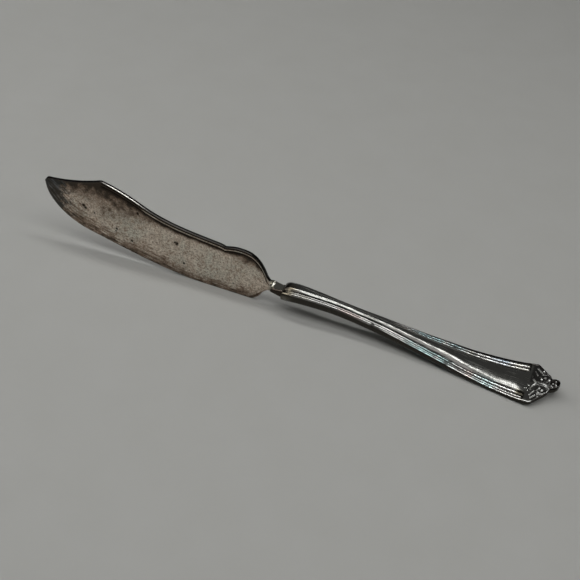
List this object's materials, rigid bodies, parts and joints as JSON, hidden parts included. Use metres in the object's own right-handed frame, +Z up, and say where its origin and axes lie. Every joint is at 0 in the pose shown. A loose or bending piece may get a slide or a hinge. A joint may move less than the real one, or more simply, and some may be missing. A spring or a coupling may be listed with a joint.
{
  "type": "master butter knife",
  "caption": "Silver-plated master butter knife: broad clipped blade with a cusped, threaded spine, quarter-twisted neck and a hollow reeded handle that flares to a scrolled, upturned end.",
  "frame": {"origin": "Middle of the bounding box, on the table that the knife stands on", "axes": "+X runs from the nose of the blade to the finial of the handle, +Z is up from the edge of the blade, and +Y is away from the side of the blade that carries the incised lines"},
  "size_m": [0.1822, 0.0186, 0.0297],
  "materials": {
    "nickel_silver": "satin",
    "mouth_solder": "satin",
    "silver_plate": "polished",
    "silver_plate_back": "polished",
    "pitch": "matte"
  },
  "bodies": {
    "root": {"blade": "nickel_silver", "mouth_plate": "mouth_solder", "handle_front": "silver_plate", "handle_back": "silver_plate_back", "handle_cement": "pitch"}
  },
  "joints": []
}
